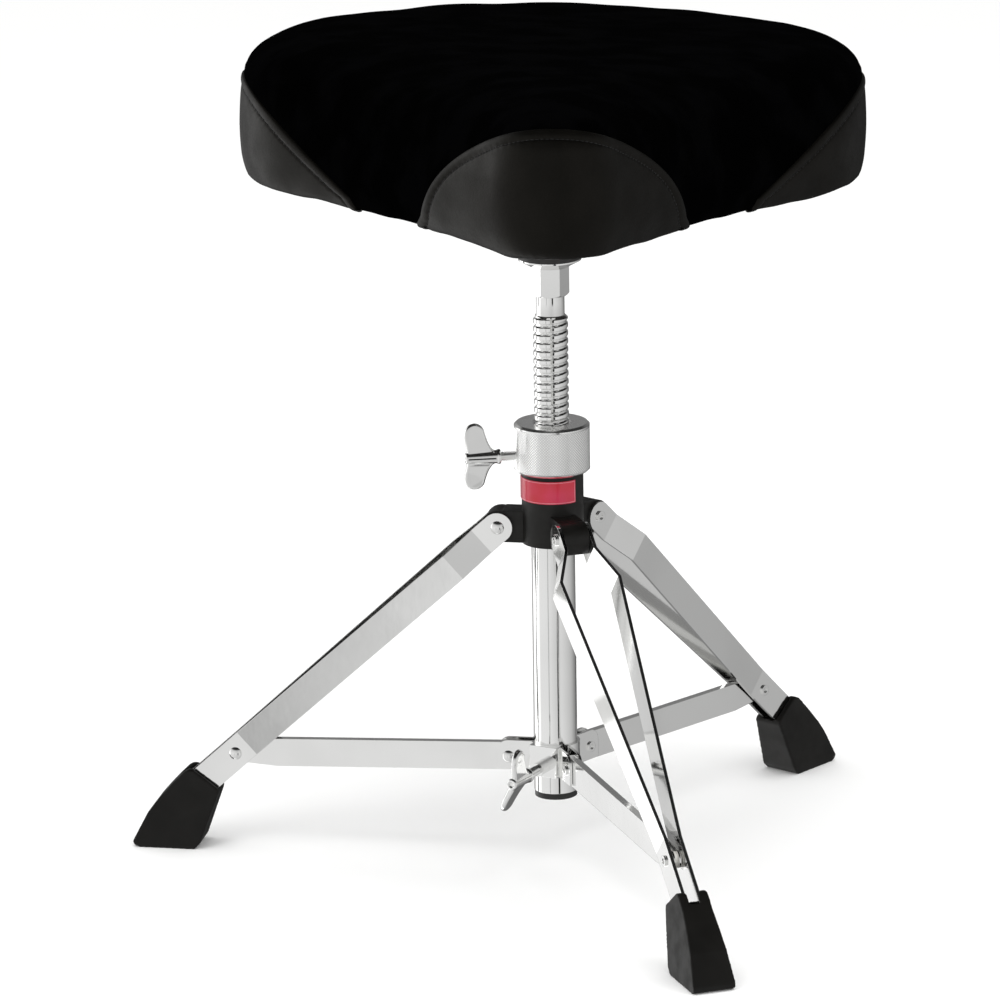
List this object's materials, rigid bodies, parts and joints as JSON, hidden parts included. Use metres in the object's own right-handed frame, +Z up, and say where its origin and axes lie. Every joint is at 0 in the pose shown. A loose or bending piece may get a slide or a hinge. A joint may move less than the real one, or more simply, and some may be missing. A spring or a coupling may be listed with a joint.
{
  "type": "drum throne",
  "caption": "Saddle-shaped drummer's seat on a threaded rod with a knurled height nut, on a folding double-braced chrome tripod with rubber feet.",
  "frame": {"origin": "on the floor, on the axis of the centre tube, midway between the feet's circle of pivots", "axes": "+Z up along the centre tube; the seat's nose points to -Y and its right-hand side to +X"},
  "size_m": [0.543, 0.5556, 0.5987],
  "materials": {
    "chrome_steel": "polished",
    "knurled_chrome": "satin",
    "black_bracket": "satin",
    "badge_red": "gloss",
    "black_steel": "satin",
    "dark_screw": "satin",
    "nylon": "satin",
    "plug_plastic": "satin",
    "foot_rubber": "matte",
    "zinc_fixings": "satin",
    "plywood": "matte",
    "foam": "matte",
    "velour": "matte",
    "leatherette": "satin",
    "underside_cloth": "matte"
  },
  "bodies": {
    "base": {"main_tube": "chrome_steel", "tube_plug": "plug_plastic", "leg_bracket": "black_bracket", "bracket_badge": "badge_red", "bracket_screw": "dark_screw"},
    "swivel": {"swivel_bush": "nylon"},
    "nut": {"height_nut": "knurled_chrome"},
    "lock_bolt": {"lock_screw": "chrome_steel"},
    "lock_handle": {"lock_wing": "chrome_steel"},
    "seat": {"threaded_rod": "chrome_steel", "seat_socket": "chrome_steel", "seat_plate": "black_steel", "plate_screws": "zinc_fixings", "t_nuts": "zinc_fixings", "seat_board": "plywood", "dust_cover": "underside_cloth", "seat_foam": "foam", "seat_cover": "velour", "nose_panel": "leatherette", "left_panel": "leatherette", "right_panel": "leatherette"},
    "collar": {"rear_clip": "chrome_steel", "clamp_clip": "chrome_steel", "right_clip": "chrome_steel", "clamp_boss": "chrome_steel", "right_ear_rivet": "chrome_steel", "left_ear_rivet": "chrome_steel", "front_ear_rivet": "chrome_steel"},
    "clamp_bolt": {"clamp_screw": "chrome_steel"},
    "clamp_handle": {"clamp_wing": "chrome_steel"},
    "right_leg": {"right_strip_a": "chrome_steel", "right_strip_b": "chrome_steel", "right_pivot_rivet": "chrome_steel", "right_stay_rivets": "chrome_steel", "right_foot": "foot_rubber"},
    "right_brace": {"right_stay": "chrome_steel", "right_stay_bush": "nylon"},
    "left_leg": {"left_strip_a": "chrome_steel", "left_strip_b": "chrome_steel", "left_pivot_rivet": "chrome_steel", "left_stay_rivets": "chrome_steel", "left_foot": "foot_rubber"},
    "left_brace": {"left_stay": "chrome_steel", "left_stay_bush": "nylon"},
    "front_leg": {"front_strip_a": "chrome_steel", "front_strip_b": "chrome_steel", "front_pivot_rivet": "chrome_steel", "front_stay_rivets": "chrome_steel", "front_foot": "foot_rubber"},
    "front_brace": {"front_stay": "chrome_steel", "front_stay_bush": "nylon"}
  },
  "joints": [
    {"name": "seat_swivel", "type": "hinge", "parent": "base", "child": "swivel", "pos_m": [0, 0, 0.2955], "axis": [0, 0, 1], "continuous": true},
    {"name": "nut_turn", "type": "hinge", "parent": "swivel", "child": "nut", "pos_m": [0, 0, 0.2967], "axis": [0, 0, 1], "range_deg": [-2521, 4321]},
    {"name": "seat_height", "type": "slide", "parent": "swivel", "child": "seat", "axis": [0, 0, 1], "range_m": [-0.072, 0.042]},
    {"name": "lock_travel", "type": "slide", "parent": "nut", "child": "lock_bolt", "axis": [-0.9848, -0.1736, 0], "range_m": [0, 0.003]},
    {"name": "lock_turn", "type": "hinge", "parent": "lock_bolt", "child": "lock_handle", "pos_m": [-0.03939, -0.00695, 0.3087], "axis": [-0.9848, -0.1736, 0], "range_deg": [0, 1081]},
    {"name": "collar_slide", "type": "slide", "parent": "base", "child": "collar", "axis": [0, 0, 1], "range_m": [0, 0.11]},
    {"name": "clamp_travel", "type": "slide", "parent": "collar", "child": "clamp_bolt", "axis": [-0.4695, -0.8829, 0], "range_m": [0, 0.003]},
    {"name": "clamp_turn", "type": "hinge", "parent": "clamp_bolt", "child": "clamp_handle", "pos_m": [-0.02113, -0.03973, 0.077], "axis": [-0.4695, -0.8829, 0], "range_deg": [0, 1081]},
    {"name": "right_leg_fold", "type": "hinge", "parent": "base", "child": "right_leg", "pos_m": [0.025, 0.0298, 0.2548], "axis": [-0.766, 0.6428, 0], "range_deg": [0, 45.64]},
    {"name": "right_stay_fold", "type": "hinge", "parent": "collar", "child": "right_brace", "pos_m": [0.02205, 0.02628, 0.079], "axis": [-0.766, 0.6428, 0], "range_deg": [0, 84.29]},
    {"name": "left_leg_fold", "type": "hinge", "parent": "base", "child": "left_leg", "pos_m": [-0.03831, 0.00675, 0.2548], "axis": [-0.1736, -0.9848, 0], "range_deg": [0, 45.64]},
    {"name": "left_stay_fold", "type": "hinge", "parent": "collar", "child": "left_brace", "pos_m": [-0.03378, 0.00596, 0.079], "axis": [-0.1736, -0.9848, 0], "range_deg": [0, 84.29]},
    {"name": "front_leg_fold", "type": "hinge", "parent": "base", "child": "front_leg", "pos_m": [0.0133, -0.03655, 0.2548], "axis": [0.9397, 0.342, 0], "range_deg": [0, 45.64]},
    {"name": "front_stay_fold", "type": "hinge", "parent": "collar", "child": "front_brace", "pos_m": [0.01173, -0.03223, 0.079], "axis": [0.9397, 0.342, 0], "range_deg": [0, 84.29]}
  ],
  "couplings": [
    {"joint": "nut_turn", "follows": "seat_height", "rad_per_m": -1047.2},
    {"joint": "lock_turn", "follows": "lock_travel", "rad_per_m": 6283.2},
    {"joint": "clamp_turn", "follows": "clamp_travel", "rad_per_m": 6283.2},
    {"joint": "right_leg_fold", "follows": "collar_slide", "rad_per_m": 7.2409},
    {"joint": "right_stay_fold", "follows": "collar_slide", "rad_per_m": 13.373},
    {"joint": "left_leg_fold", "follows": "collar_slide", "rad_per_m": 7.2409},
    {"joint": "left_stay_fold", "follows": "collar_slide", "rad_per_m": 13.373},
    {"joint": "front_leg_fold", "follows": "collar_slide", "rad_per_m": 7.2409},
    {"joint": "front_stay_fold", "follows": "collar_slide", "rad_per_m": 13.373}
  ]
}
